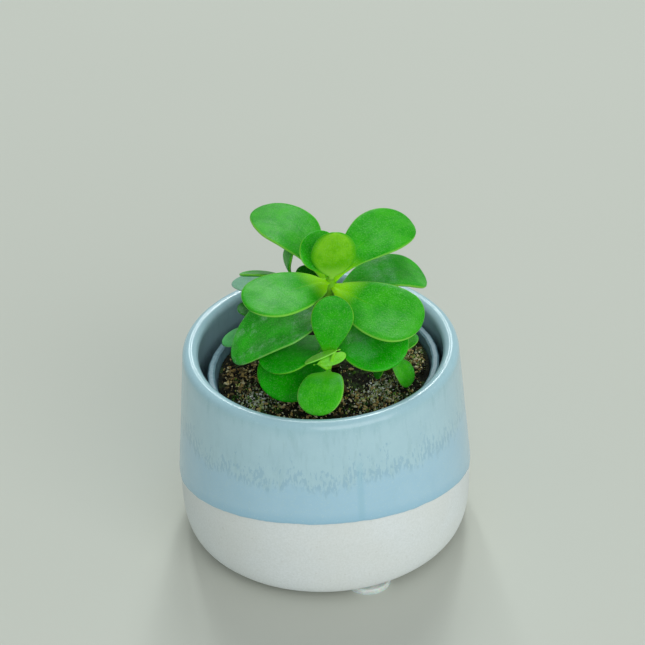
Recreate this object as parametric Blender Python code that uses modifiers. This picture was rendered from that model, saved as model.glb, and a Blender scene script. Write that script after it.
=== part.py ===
"""Small jade plant in a thin dark nursery liner, standing inside a round two-tone ceramic pot.

Lengths are written in millimetres and turned into metres when a mesh is made.
The origin is on the ground under the middle of the pot, +Z is up and -Y is the front.
Angles are in degrees. A leaf or pad direction is measured from +X towards +Y.
"""

import math
from collections import namedtuple

import bmesh
import bpy
from mathutils import Matrix, Vector

MM = 0.001
GAP = 0.3
STEM_FOOT_GAP = 0.85

# Clear pads stuck under the pot.
PAD_RADIUS = 6.5
PAD_HEIGHT = 1.5
PAD_ROUNDING = 0.5
PAD_CIRCLE = 34.0
PAD_DIRECTIONS = (-71, 49, 169)

# Ceramic pot.
POT_BASE = PAD_HEIGHT + GAP
POT_HEIGHT = 58.8
POT_FOOT_RADIUS = 36.0
POT_WIDEST_RADIUS = 42.5
POT_WIDEST_HEIGHT = 19.5
POT_RIM_RADIUS = 39.4
POT_CORNER_POWER = 4.1
POT_LIP_RADIUS = 2.3
POT_WALL = 2 * POT_LIP_RADIUS
POT_FLOOR = 5.5
POT_CAVITY_CORNER = 5.0
POT_STEPS = 48

# Nursery liner: a thin tapered pot that leans a little inside the ceramic one.
LINER_RIM_RADIUS = 33.1
LINER_RIM_WIDTH = 1.9
LINER_SHIFT = 0.5
LINER_RIM_DROP = 4.0
LINER_WALL = 1.0
LINER_BASE_RADIUS = 25.0
LINER_TOP = POT_BASE + 51.6
LINER_HEIGHT = 43.6
LINER_MIDDLE_DEPTH = 22.0
LINER_EDGE = 0.4
LINER_LEAN = 3.0
LINER_STEPS = 40
LINER_HOLES = 6
LINER_HOLE_RADIUS = 2.5
LINER_HOLE_CIRCLE = 17.0

# Potting mix.
SOIL_BELOW_RIM = 2.6
SOIL_RINGS = 7
SOIL_STEPS = 36
SOIL_BUMP = 0.45
SOIL_LEVEL = LINER_TOP - SOIL_BELOW_RIM

# Leaves.
LEAF_STATIONS = (0.0, 0.1, 0.24, 0.4, 0.56, 0.7, 0.82, 0.91, 0.965, 0.995)
LEAF_SIDES = 12
LEAF_BASE_SHARE = 0.17
LEAF_FOOT_POWER = 1.1
LEAF_TIP_POWER = 2.2
LEAF_CUP = 0.10
LEAF_EDGE_POWER = 0.4

Stem = namedtuple("Stem", "points radii")
Leaf = namedtuple("Leaf", "stem height away direction rise droop roll length width thick middle "
                  "foot tip sweep twist", defaults=(LEAF_FOOT_POWER, LEAF_TIP_POWER, 0.0, 0.0))

# Each stem is a row of (x, y, height above the soil level) points with a radius at each point.
STEMS = {
    "main_stem": Stem(((3.0, 1.5, 0.0), (3.2, 1.2, 13.0), (3.4, 1.0, 29.0), (3.4, 1.0, 31.6)),
                      (2.2, 1.9, 1.4, 1.1)),
    "front_shoot_stem": Stem(((5.8, -10.5, 0.0), (4.4, -13.2, 6.5), (2.0, -17.5, 12.2),
                              (2.0, -17.5, 13.2)), (1.3, 1.1, 0.9, 0.7)),
    "back_shoot_stem": Stem(((-8.0, 10.0, 0.0), (-8.3, 11.0, 13.0), (-8.5, 12.0, 25.5)),
                            (1.5, 1.2, 0.8)),
    "right_shoot_stem": Stem(((19.2, -3.0, 0.0), (19.4, -3.5, 4.0), (19.5, -4.0, 7.7)),
                             (0.9, 0.8, 0.6)),
}

# stem, height above the soil, distance of the leaf foot from the stem's middle line,
# direction, rise at the foot, droop from foot to tip, roll about the leaf's own length,
# length, width, thickness, place of the widest point along the length; then, where they differ
# from the usual, the fullness of foot and tip (a low foot power is full, a low tip power is
# pointed), the sideways sweep of the tip in mm and the twist from foot to tip.
LEAVES = {
    "main_leaf_1_front": Leaf("main_stem", 32.6, 1.25, -68, 74, -4, -20, 17.0, 12.6, 1.5, 0.43, 0.75),
    "main_leaf_1_back": Leaf("main_stem", 32.6, 1.25, 138, 64, 6, -7, 12.0, 13.0, 1.4, 0.56, 0.95),
    "main_leaf_2_right": Leaf("main_stem", 30.5, 2.0, 41, 41, 64, 11, 31.6, 15.8, 2.2, 0.61,
                              1.5, 1.8, -0.3, 15),
    "main_leaf_2_left": Leaf("main_stem", 30.5, 2.0, 217, 11, 12, -13, 26.3, 18.4, 2.2, 0.67,
                             0.7, 2.4, 0.0, 10),
    "main_leaf_3_right": Leaf("main_stem", 28.6, 2.0, -37, -12, -2, 24, 27.4, 18.8, 2.4, 0.66,
                              0.9, 2.5, 1.9, -12),
    "main_leaf_3_left": Leaf("main_stem", 28.8, 2.2, 122, 37, 47, 24, 35.2, 19.2, 2.3, 0.59,
                             2.0, 1.4, 1.0, -29),
    "main_leaf_4_right": Leaf("main_stem", 22.0, 2.1, 25, 46, 90, -2, 30.2, 14.5, 2.3, 0.70,
                              0.8, 2.4, -2.0, 18),
    "main_leaf_4_left": Leaf("main_stem", 21.8, 2.1, 196, 2, 53, -8, 30.6, 22.0, 2.2, 0.42,
                             0.6, 1.25, 0.3, 0),
    "main_leaf_5_right": Leaf("main_stem", 16.0, 2.2, -47, 14, 38, 15, 24.4, 19.0, 2.3, 0.62),
    "main_leaf_5_back": Leaf("main_stem", 22.6, 2.2, 136, 38, 0, 0, 12.0, 8.6, 1.4, 0.56),
    "main_leaf_6_left": Leaf("main_stem", 12.0, 2.3, 224, 17, 34, 3, 22.9, 16.4, 1.9, 0.66, 1.35, 2.4),
    "main_leaf_7_left": Leaf("main_stem", 8.2, 2.4, 228, 15, 53, -14, 23.8, 19.8, 2.1, 0.59),
    "front_leaf_1_up": Leaf("front_shoot_stem", 14.4, 2.4, 81, 85, 8, 8, 19.7, 11.9, 1.5, 0.70,
                            1.7, 2.0, -2.0, 0),
    "front_leaf_1_down": Leaf("front_shoot_stem", 13.2, 1.8, -105, -1, 45, 7, 14.3, 13.1, 1.8, 0.57,
                              0.4, 2.1, 0.4, 0),
    "front_leaf_2_left": Leaf("front_shoot_stem", 18.9, -2.3, 193, -12, 9, 17, 9.3, 4.6, 0.8, 0.53,
                              0.5, 2.0),
    "front_leaf_2_right": Leaf("front_shoot_stem", 15.4, -2.9, 10, 4, -5, 42, 8.2, 3.2, 0.8, 0.61,
                               0.55, 2.3, 1.0, 0),
    "back_leaf_1_up": Leaf("back_shoot_stem", 25.9, 0.85, 10, 112, 56, 8, 9.2, 6.0, 1.3, 0.58),
    "back_leaf_2_left": Leaf("back_shoot_stem", 25.0, 1.2, 172, 8, 14, 24, 12.7, 7.6, 1.2, 0.57),
    "back_leaf_3_back": Leaf("back_shoot_stem", 17.0, 1.4, 148, 21, 34, 3, 17.5, 10.5, 1.6, 0.60),
    "back_leaf_3_left": Leaf("back_shoot_stem", 13.0, 1.5, 186, 20, 14, 0, 14.0, 9.0, 1.4, 0.60),
    "back_leaf_4_left": Leaf("back_shoot_stem", 8.0, 1.6, 193, 9, 26, 0, 19.0, 9.0, 1.5, 0.60),
    "right_leaf_1_back": Leaf("right_shoot_stem", 8.0, 0.9, 29, 30, 15, 4, 8.8, 6.4, 1.1, 0.60),
    "right_leaf_1_front": Leaf("right_shoot_stem", 7.9, 1.0, -58, 4, 83, -12, 10.8, 7.0, 1.2, 0.54),
    "right_leaf_2_left": Leaf("right_shoot_stem", 6.5, 1.0, 211, -32, 44, 0, 6.4, 4.0, 1.0, 0.60),
}

COLOURS = {
    "pad": (0.80, 0.82, 0.82),
    "ceramic": (0.46, 0.62, 0.67),
    "liner": (0.10, 0.13, 0.14),
    "soil": (0.07, 0.05, 0.035),
    "stem": (0.22, 0.30, 0.08),
    "leaf": (0.11, 0.36, 0.04),
}
ROUGHNESS = {"pad": 0.25, "ceramic": 0.2, "liner": 0.5, "soil": 0.95, "stem": 0.6, "leaf": 0.35}


# --- scene and materials ---------------------------------------------------------------------

def clear_scene():
    for old in list(bpy.data.objects):
        bpy.data.objects.remove(old, do_unlink=True)


def new_collection(name, hidden=False):
    group = bpy.data.collections.new(name)
    bpy.context.scene.collection.children.link(group)
    group.hide_render = hidden
    return group


def add_material(obj, kind):
    mat = bpy.data.materials.new(obj.name + "_" + kind)
    mat.use_nodes = True
    shader = mat.node_tree.nodes["Principled BSDF"]
    shader.inputs["Base Color"].default_value = (*COLOURS[kind], 1.0)
    shader.inputs["Roughness"].default_value = ROUGHNESS[kind]
    obj.data.materials.append(mat)


def mesh_object(name, bm, group):
    bmesh.ops.recalc_face_normals(bm, faces=bm.faces)
    mesh = bpy.data.meshes.new(name)
    bm.to_mesh(mesh)
    bm.free()
    for face in mesh.polygons:
        face.use_smooth = True
    obj = bpy.data.objects.new(name, mesh)
    group.objects.link(obj)
    return obj


# --- turned parts ----------------------------------------------------------------------------

def turned(name, profile, steps, group):
    """A closed solid turned about Z from (radius, height) points in mm."""
    bm = bmesh.new()
    verts = [bm.verts.new((radius * MM, 0.0, height * MM)) for radius, height in profile]
    for first, second in zip(verts, verts[1:]):
        bm.edges.new((first, second))
    mesh = bpy.data.meshes.new(name)
    bm.to_mesh(mesh)
    bm.free()
    obj = bpy.data.objects.new(name, mesh)
    group.objects.link(obj)
    screw = obj.modifiers.new("turn", "SCREW")
    screw.axis = "Z"
    screw.steps = steps
    screw.render_steps = steps
    screw.use_merge_vertices = True
    screw.merge_threshold = 0.00002
    screw.use_smooth_shade = True
    return obj


def arc(centre, radius, start, end, count):
    """(radius, height) points on a circle from one angle to another, both ends included."""
    points = []
    for i in range(count + 1):
        angle = math.radians(start + (end - start) * i / count)
        points.append((centre[0] + radius * math.cos(angle), centre[1] + radius * math.sin(angle)))
    return points


def pot_outer_radius(height):
    """Outside radius of the ceramic pot at a height above its own base."""
    if height < POT_WIDEST_HEIGHT:
        share = 1 - (1 - height / POT_WIDEST_HEIGHT) ** POT_CORNER_POWER
        swell = POT_WIDEST_RADIUS - POT_FOOT_RADIUS
        return POT_FOOT_RADIUS + swell * share ** (1 / POT_CORNER_POWER)
    share = (height - POT_WIDEST_HEIGHT) / (POT_HEIGHT - POT_LIP_RADIUS - POT_WIDEST_HEIGHT)
    return POT_WIDEST_RADIUS - (POT_WIDEST_RADIUS - POT_RIM_RADIUS) * share


def make_ceramic_pot(group):
    lip_height = POT_HEIGHT - POT_LIP_RADIUS
    outer_heights = (52, 44, 36, 28, POT_WIDEST_HEIGHT, 13, 8, 4.5, 2.2, 0.9, 0.25, 0)
    inner_heights = (15, 22, 30, 38, 46, 52)
    corner_radius = pot_outer_radius(POT_FLOOR + POT_CAVITY_CORNER) - POT_WALL
    corner_centre = (corner_radius - POT_CAVITY_CORNER, POT_FLOOR + POT_CAVITY_CORNER)
    inside = [(0.0, POT_FLOOR)]
    inside += arc(corner_centre, POT_CAVITY_CORNER, -90, 0, 4)
    inside += [(pot_outer_radius(height) - POT_WALL, height) for height in inner_heights]
    lip = arc((POT_RIM_RADIUS - POT_LIP_RADIUS, lip_height), POT_LIP_RADIUS, 180, 0, 8)
    outside = [(pot_outer_radius(height), height) for height in outer_heights]
    profile = inside + lip + outside + [(0.0, 0.0)]
    pot = turned("ceramic_pot", profile, POT_STEPS, group)
    pot.location.z = POT_BASE * MM
    add_material(pot, "ceramic")


def make_pads(group):
    profile = [(0.0, PAD_HEIGHT)]
    profile += arc((PAD_RADIUS - PAD_ROUNDING, PAD_HEIGHT - PAD_ROUNDING), PAD_ROUNDING, 90, 0, 3)
    profile += [(PAD_RADIUS, 0.0), (0.0, 0.0)]
    for number, direction in enumerate(PAD_DIRECTIONS, start=1):
        pad = turned("foot_pad_%d" % number, profile, 24, group)
        angle = math.radians(direction)
        pad.location = (PAD_CIRCLE * MM * math.cos(angle), PAD_CIRCLE * MM * math.sin(angle), 0.0)
        add_material(pad, "pad")


# --- nursery liner and potting mix -------------------------------------------------------------

def lean_matrix():
    """Leans the liner and its potting mix about the middle of the liner's rim, +X side up."""
    pivot = Matrix.Translation((LINER_SHIFT * MM, 0.0, LINER_TOP * MM))
    return pivot @ Matrix.Rotation(math.radians(-LINER_LEAN), 4, "Y")


def liner_inner_radius(depth):
    """Inside radius of the liner at a depth below its rim."""
    top = LINER_RIM_RADIUS - LINER_RIM_WIDTH
    bottom = LINER_BASE_RADIUS - LINER_WALL
    return top + (bottom - top) * depth / (LINER_HEIGHT - LINER_WALL)


def make_liner(group, cutters):
    inner_floor = LINER_WALL - LINER_HEIGHT
    wall_top = liner_inner_radius(LINER_RIM_DROP) + LINER_WALL
    profile = [
        (0.0, inner_floor),
        (liner_inner_radius(-inner_floor), inner_floor),
        (liner_inner_radius(LINER_MIDDLE_DEPTH), -LINER_MIDDLE_DEPTH),
        (liner_inner_radius(LINER_EDGE), -LINER_EDGE),
        (liner_inner_radius(0.0) + LINER_EDGE, 0.0),
        (LINER_RIM_RADIUS - LINER_EDGE, 0.0),
        (LINER_RIM_RADIUS, -LINER_EDGE),
        (LINER_RIM_RADIUS, -LINER_RIM_DROP),
        (wall_top, -LINER_RIM_DROP),
        (liner_inner_radius(LINER_MIDDLE_DEPTH) + LINER_WALL, -LINER_MIDDLE_DEPTH),
        (LINER_BASE_RADIUS, -LINER_HEIGHT),
        (0.0, -LINER_HEIGHT),
    ]
    liner = turned("nursery_liner", profile, LINER_STEPS, group)
    liner.matrix_world = lean_matrix()
    add_material(liner, "liner")
    for number in range(LINER_HOLES):
        turn = Matrix.Rotation(2 * math.pi * number / LINER_HOLES, 4, "Z")
        cut_hole(liner, lean_matrix() @ turn, "drain_cutter_%d" % (number + 1), cutters)


def cut_hole(liner, placing, name, cutters):
    bm = bmesh.new()
    bmesh.ops.create_cone(bm, cap_ends=True, segments=16, radius1=LINER_HOLE_RADIUS * MM,
                          radius2=LINER_HOLE_RADIUS * MM, depth=4 * LINER_WALL * MM)
    cutter = mesh_object(name, bm, cutters)
    middle = Matrix.Translation((LINER_HOLE_CIRCLE * MM, 0.0, (LINER_WALL / 2 - LINER_HEIGHT) * MM))
    cutter.matrix_world = placing @ middle
    cutter.hide_render = True
    cutter.display_type = "WIRE"
    boolean = liner.modifiers.new(name, "BOOLEAN")
    boolean.operation = "DIFFERENCE"
    boolean.solver = "EXACT"
    boolean.object = cutter


def soil_bump(x, y):
    """Gentle unevenness of the soil surface, in mm, for a point in mm."""
    wide = math.sin(0.21 * x + 0.6) * math.cos(0.17 * y - 0.4)
    fine = 0.5 * math.sin(0.47 * x - 0.33 * y + 1.1)
    return SOIL_BUMP * (wide + fine)


def soil_height(x, y):
    """Height of the leaning soil surface above the ground at a point in mm."""
    slope = math.tan(math.radians(LINER_LEAN))
    return SOIL_LEVEL + slope * (x - LINER_SHIFT) + soil_bump(x - LINER_SHIFT, y)


def make_soil(group):
    floor_depth = LINER_HEIGHT - LINER_WALL - GAP
    edge = liner_inner_radius(SOIL_BELOW_RIM) - 2 * GAP
    radii = [edge * ring / SOIL_RINGS for ring in range(1, SOIL_RINGS + 1)]
    bm = bmesh.new()
    centre = bm.verts.new((0.0, 0.0, (soil_bump(0.0, 0.0) - SOIL_BELOW_RIM) * MM))
    rings = [soil_ring(bm, radius, None) for radius in radii]
    middle_radius = liner_inner_radius(LINER_MIDDLE_DEPTH) - 2 * GAP
    rings.append(soil_ring(bm, middle_radius, -LINER_MIDDLE_DEPTH))
    rings.append(soil_ring(bm, liner_inner_radius(floor_depth) - 2 * GAP, -floor_depth))
    for i in range(SOIL_STEPS):
        bm.faces.new((centre, rings[0][i], rings[0][(i + 1) % SOIL_STEPS]))
    for inner, outer in zip(rings, rings[1:]):
        join_rings(bm, inner, outer)
    bm.faces.new(rings[-1])
    soil = mesh_object("potting_soil", bm, group)
    soil.matrix_world = lean_matrix()
    add_material(soil, "soil")


def soil_ring(bm, radius, depth):
    """A ring of soil points; on the surface when no depth is given."""
    ring = []
    for i in range(SOIL_STEPS):
        angle = 2 * math.pi * i / SOIL_STEPS
        x, y = radius * math.cos(angle), radius * math.sin(angle)
        height = soil_bump(x, y) - SOIL_BELOW_RIM if depth is None else depth
        ring.append(bm.verts.new((x * MM, y * MM, height * MM)))
    return ring


def join_rings(bm, first, second):
    count = len(first)
    for i in range(count):
        j = (i + 1) % count
        bm.faces.new((first[i], first[j], second[j], second[i]))


# --- stems and leaves ----------------------------------------------------------------------------

def stem_places(stem):
    """Points of a stem's middle line in mm; the foot is set just clear of the soil under it."""
    places = [Vector((x, y, SOIL_LEVEL + height)) for x, y, height in stem.points]
    places[0].z = soil_height(places[0].x, places[0].y) + STEM_FOOT_GAP
    return places


def make_stem(name, stem, group):
    curve = bpy.data.curves.new(name + "_curve", "CURVE")
    curve.dimensions = "3D"
    curve.bevel_depth = MM
    curve.bevel_resolution = 2
    curve.use_fill_caps = True
    spline = curve.splines.new("POLY")
    spline.points.add(len(stem.points) - 1)
    for point, place, radius in zip(spline.points, stem_places(stem), stem.radii):
        point.co = (*(place * MM), 1.0)
        point.radius = radius
    curve_object = bpy.data.objects.new(name + "_curve", curve)
    group.objects.link(curve_object)
    bpy.context.view_layer.update()
    mesh = bpy.data.meshes.new_from_object(curve_object)
    bpy.data.objects.remove(curve_object, do_unlink=True)
    bm = bmesh.new()
    bm.from_mesh(mesh)
    bmesh.ops.remove_doubles(bm, verts=bm.verts, dist=0.00001)
    obj = mesh_object(name, bm, group)
    add_material(obj, "stem")


def stem_point(stem, height):
    """The point on a stem's middle line at a height; above the stem's top the line goes on."""
    places = stem_places(stem)
    for low, high in zip(places, places[1:]):
        if height <= high.z or high is places[-1]:
            return low.lerp(high, (height - low.z) / (high.z - low.z))


def leaf_outline(share, leaf):
    """Half width of a leaf, as a share of its greatest half width, along its length."""
    if share < leaf.middle:
        swell = math.sin(math.pi / 2 * share / leaf.middle) ** leaf.foot
        return LEAF_BASE_SHARE + (1 - LEAF_BASE_SHARE) * swell
    past = (share - leaf.middle) / (1 - leaf.middle)
    return math.sqrt(max(1 - past ** leaf.tip, 0.0))


def leaf_places(leaf):
    """Middle-line point, side direction and up direction at each station of a leaf."""
    direction = math.radians(leaf.direction)
    outward = Vector((math.cos(direction), math.sin(direction), 0.0))
    sideways = Vector((-math.sin(direction), math.cos(direction), 0.0))
    up = Vector((0.0, 0.0, 1.0))
    point = stem_point(STEMS[leaf.stem], SOIL_LEVEL + leaf.height) + outward * leaf.away
    places = []
    before = 0.0
    for share in LEAF_STATIONS:
        halfway = math.radians(leaf.rise - leaf.droop * (share + before) / 2)
        step = (share - before) * leaf.length
        point = point + (outward * math.cos(halfway) + up * math.sin(halfway)) * step
        tilt = math.radians(leaf.rise - leaf.droop * share)
        upward = up * math.cos(tilt) - outward * math.sin(tilt)
        roll = math.radians(leaf.roll + leaf.twist * share)
        side = sideways * math.cos(roll) + upward * math.sin(roll)
        top = upward * math.cos(roll) - sideways * math.sin(roll)
        places.append((point + side * leaf.sweep * share ** 2, side, top))
        before = share
    return places


def make_leaf(name, leaf, group):
    bm = bmesh.new()
    rings = []
    for share, (point, side, top) in zip(LEAF_STATIONS, leaf_places(leaf)):
        outline = leaf_outline(share, leaf)
        half_width = leaf.width / 2 * outline
        half_thick = leaf.thick / 2 * outline ** LEAF_EDGE_POWER
        half_thick = min(half_thick, half_width)
        ring = []
        for i in range(LEAF_SIDES):
            angle = 2 * math.pi * i / LEAF_SIDES
            across = math.cos(angle)
            lift = half_thick * math.sin(angle) + LEAF_CUP * half_width * across ** 2
            place = point + side * (half_width * across) + top * lift
            ring.append(bm.verts.new(place * MM))
        rings.append(ring)
    bm.faces.new(rings[0])
    for first, second in zip(rings, rings[1:]):
        join_rings(bm, first, second)
    bm.faces.new(rings[-1])
    obj = mesh_object(name, bm, group)
    add_material(obj, "leaf")


def build():
    clear_scene()
    parts = new_collection("potted_jade_plant")
    cutters = new_collection("cutters", hidden=True)
    make_pads(parts)
    make_ceramic_pot(parts)
    make_liner(parts, cutters)
    make_soil(parts)
    for name, stem in STEMS.items():
        make_stem(name, stem, parts)
    for name, leaf in LEAVES.items():
        make_leaf(name, leaf, parts)


build()
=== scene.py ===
"""Looks of the potted jade plant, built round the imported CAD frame.

Lengths are metres in the frame's own axes: +Z up, -Y to the front, the ground at z = 0.
Every leaf, stem, the pot and the soil surface take their place and size from their CAD node.
"""

import math
import random
from collections import namedtuple

import bmesh
import bpy
import numpy as np
from mathutils import Matrix, Vector, noise
from mathutils.bvhtree import BVHTree


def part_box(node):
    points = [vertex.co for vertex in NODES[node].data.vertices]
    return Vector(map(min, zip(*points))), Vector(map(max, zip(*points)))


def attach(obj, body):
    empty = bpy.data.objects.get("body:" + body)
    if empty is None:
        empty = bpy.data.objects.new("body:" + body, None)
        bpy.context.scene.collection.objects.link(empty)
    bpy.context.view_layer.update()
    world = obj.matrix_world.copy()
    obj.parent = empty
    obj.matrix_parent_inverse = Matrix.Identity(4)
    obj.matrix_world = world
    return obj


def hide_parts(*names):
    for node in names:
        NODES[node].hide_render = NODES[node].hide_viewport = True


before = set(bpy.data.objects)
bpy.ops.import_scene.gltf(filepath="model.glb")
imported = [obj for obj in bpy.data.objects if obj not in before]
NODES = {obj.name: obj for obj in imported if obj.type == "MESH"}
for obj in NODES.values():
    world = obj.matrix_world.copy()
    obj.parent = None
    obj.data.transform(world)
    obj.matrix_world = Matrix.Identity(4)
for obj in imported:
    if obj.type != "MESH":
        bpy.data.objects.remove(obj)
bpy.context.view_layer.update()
MM = 0.001

# Ceramic pot, all from the pot's CAD box.
POT_LOW, POT_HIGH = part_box("ceramic_pot")
POT_RADIUS = POT_HIGH.x
POT_HEIGHT = POT_HIGH.z - POT_LOW.z
POT_FOOT_RADIUS = 0.847 * POT_RADIUS
POT_RIM_RADIUS = 0.927 * POT_RADIUS
POT_WIDEST_HEIGHT = 0.332 * POT_HEIGHT
POT_CORNER_POWER = 4.1
POT_LIP_RADIUS = 0.054 * POT_RADIUS
POT_WALL = 2 * POT_LIP_RADIUS
POT_FLOOR = 0.094 * POT_HEIGHT
POT_CAVITY_CORNER = 0.085 * POT_HEIGHT
POT_AROUND = 256

# Glaze: its lower edge is a slanting plane, lowest at the back.
GLAZE_EDGE_HEIGHT = 0.289 * POT_HEIGHT
GLAZE_SLOPE = Vector((0.006, -0.232))
GLAZE_WAVE = 0.25 * MM
GLAZE_THICKNESS = 0.3 * MM
BREAK_FRONT = math.radians(-105)
BREAK_HEIGHT = 13.5 * MM
BREAK_RISE = 7.5 * MM
DRIP_DIRECTION = math.radians(-76.5)
FLECK_BAND = 11 * MM
FLECK_COLOUR = (0.22, 0.41, 0.56)

# Leaves.
LEAF_STATIONS = 40
LEAF_AROUND = 32
LEAF_CUP = 0.10
LEAF_SECTION_POWER = 0.8
LEAF_FOOT_REACH = 1.3 * MM
LEAF_TEXTURE_HEIGHT = 0.16 * MM
CAD_LEAF_SIDES = 12

# The way a leaf faces where a pale sheen is painted on it: about halfway between the window
# behind the plant and a viewer in front of it.
SHEEN_FACING = (0.04, -0.13, 0.99)

# Stems, and the short stalk of a leaf whose foot is far from its stem's middle line.
CAD_STEM_SIDES = 8
STEM_AROUND = 28
STEM_STEP = 0.45 * MM
STEM_NODE_SPACING = 5.2 * MM
STEM_LINE_STEPS = 40
STALK_FROM = 2.6 * MM
STALK_RADIUS = 0.75 * MM
STALK_TAPER = 0.35
STALK_INTO_LEAF = 0.4
STALK_STATIONS = 8
STALK_AROUND = 14

# Potting mix.
SOIL_RINGS = 110
SOIL_AROUND = 300
SOIL_LUMP = 0.9 * MM
SOIL_SAMPLED_TO = 0.985
SOIL_FOOT_SHARE = 0.76

# Loose bits on the mix: how many, how large, how much longer than wide, whether they stand, how
# deep they sit in shares of their size, and where they gather.
Grains = namedtuple("Grains", "count smallest largest stretch upright sink patches")

# Where loose bits gather: middle and spread, in shares of the soil's radius.
BROWN_PATCHES = ((0.0, 0.0, 0.55), (-0.78, 0.03, 0.17), (-0.20, -0.68, 0.22),
                 (0.87, 0.09, 0.14), (0.50, -0.45, 0.20))
MOSS_PATCHES = ((0.50, -0.40, 0.15), (0.50, -0.40, 0.20), (-0.63, -0.35, 0.13),
                (0.86, 0.09, 0.10), (0.0, 0.0, 0.5))
GRIT_PATCHES = ((0.52, -0.36, 0.09), (-0.63, -0.35, 0.08), (0.45, -0.42, 0.16), (0.0, 0.0, 0.5))
CRUMBS = Grains(2400, 0.16 * MM, 0.62 * MM, 0.6, False, 0.1, BROWN_PATCHES)
MOSS = Grains(2000, 0.14 * MM, 0.42 * MM, 1.0, True, 0.0, MOSS_PATCHES)
GRIT = Grains(520, 0.14 * MM, 0.36 * MM, 0.4, False, -0.3, GRIT_PATCHES)
BROWN_COLOURS = ((0.020, 0.015, 0.008), (0.16, 0.12, 0.05), (0.55, 0.42, 0.17),
                 (0.012, 0.012, 0.008), (0.72, 0.66, 0.40), (0.26, 0.20, 0.09),
                 (0.04, 0.035, 0.018), (0.40, 0.27, 0.09))
GREEN_COLOURS = ((0.12, 0.30, 0.03), (0.45, 0.55, 0.14), (0.03, 0.09, 0.012),
                 (0.44, 0.52, 0.30), (0.20, 0.26, 0.12), (0.62, 0.72, 0.48))
WHITE_COLOURS = ((0.68, 0.72, 0.66), (0.85, 0.88, 0.85), (0.50, 0.50, 0.40))
GRAINS_REACH = 0.965

# A bare patch where most loose bits are missing, so the dark mix shows through; it stands for a
# hollow in the mix and for painted shade under the leaves in front of the main stem.
HOLLOW_AND_SHADE = Vector((0.32, -0.18))
HOLLOW_AND_SHADE_REACH = 0.17
HOLLOW_AND_SHADE_MISSING = 0.85

# Window behind the plant: its middle, half the distance between its panes, and one pane.
WINDOW_PLACE = Vector((0.0, 2.2, 2.25))
WINDOW_GAP = 0.38
WINDOW_PANE = (0.24, 2.4)
WINDOW_POWER = 18.0
ROOM_COLOUR = (0.95, 1.0, 1.0)
ROOM_STRENGTH = 0.44
FLOOR_HALF_SIZE = 4.0

# Camera: the point it looks at, its distance, how far it looks down, its lens and its roll.
CAMERA_TARGET = Vector((0.84 * MM, 0.0, 67.8 * MM))
CAMERA_DISTANCE = 704.3 * MM
CAMERA_PITCH = math.radians(34.0)
CAMERA_LENS = 139.5
CAMERA_SENSOR = 36.0
CAMERA_ROLL = math.radians(-2.2)

# Leaf colours: deep and bright patches, foot and margin; where the margin colour starts across
# the leaf; how rough and how glossy the skin is, gloss also setting the strength of the painted
# sheen; how strongly its pale wax bloom, partly painted sheen, shows.
PlantLook = namedtuple("PlantLook", "deep bright foot margin rim roughness gloss bloom")
LOOKS = {
    "fresh": PlantLook((0.010, 0.32, 0.001), (0.040, 0.44, 0.006), (0.30, 0.74, 0.000),
                       (0.22, 0.62, 0.06), 0.93, 0.50, 0.25, 0.04),
    "broad": PlantLook((0.018, 0.42, 0.001), (0.070, 0.58, 0.008), (0.12, 0.60, 0.020),
                       (0.22, 0.62, 0.06), 0.93, 0.48, 0.50, 0.14),
    # young: its darker margin, starting well in from the edge, leaves the middle brighter, a painted
    # glow of light shining through the leaf from behind.
    "young": PlantLook((0.12, 0.50, 0.001), (0.24, 0.64, 0.02), (0.36, 0.76, 0.080),
                       (0.06, 0.44, 0.001), 0.72, 0.45, 0.20, 0.05),
    "bud": PlantLook((0.14, 0.62, 0.008), (0.26, 0.80, 0.06), (0.22, 0.72, 0.020),
                     (0.30, 0.80, 0.12), 0.93, 0.45, 0.50, 0.10),
    "inner": PlantLook((0.006, 0.32, 0.000), (0.028, 0.45, 0.001), (0.16, 0.62, 0.001),
                       (0.20, 0.58, 0.03), 0.94, 0.45, 0.55, 0.04),
    "old": PlantLook((0.003, 0.32, 0.000), (0.014, 0.48, 0.000), (0.05, 0.48, 0.001),
                     (0.14, 0.54, 0.02), 0.95, 0.42, 0.50, 0.06),
    # low: nearly the old greens with little gloss, a shaded copy for the lowest leaves, which get
    # almost none of the painted sheen.
    "low": PlantLook((0.002, 0.33, 0.000), (0.012, 0.50, 0.000), (0.05, 0.48, 0.001),
                     (0.14, 0.54, 0.02), 0.95, 0.42, 0.15, 0.05),
    # dark: much darker greens, painted shade for leaves that sit in shadow behind others.
    "dark": PlantLook((0.004, 0.14, 0.002), (0.012, 0.22, 0.006), (0.03, 0.26, 0.002),
                      (0.05, 0.30, 0.02), 0.95, 0.45, 0.20, 0.04),
    # A heavy pale wax bloom, which here also serves as painted sheen.
    "dusty_and_sheen": PlantLook((0.005, 0.28, 0.001), (0.022, 0.48, 0.004), (0.08, 0.46, 0.004),
                       (0.20, 0.56, 0.08), 0.95, 0.38, 0.75, 0.30),
    "soft": PlantLook((0.06, 0.38, 0.09), (0.12, 0.50, 0.16), (0.12, 0.46, 0.08),
                      (0.20, 0.52, 0.22), 0.93, 0.55, 0.15, 0.08),
    "pale": PlantLook((0.18, 0.40, 0.27), (0.28, 0.52, 0.38), (0.24, 0.46, 0.30),
                      (0.30, 0.54, 0.40), 0.93, 0.55, 0.10, 0.10),
}
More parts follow.
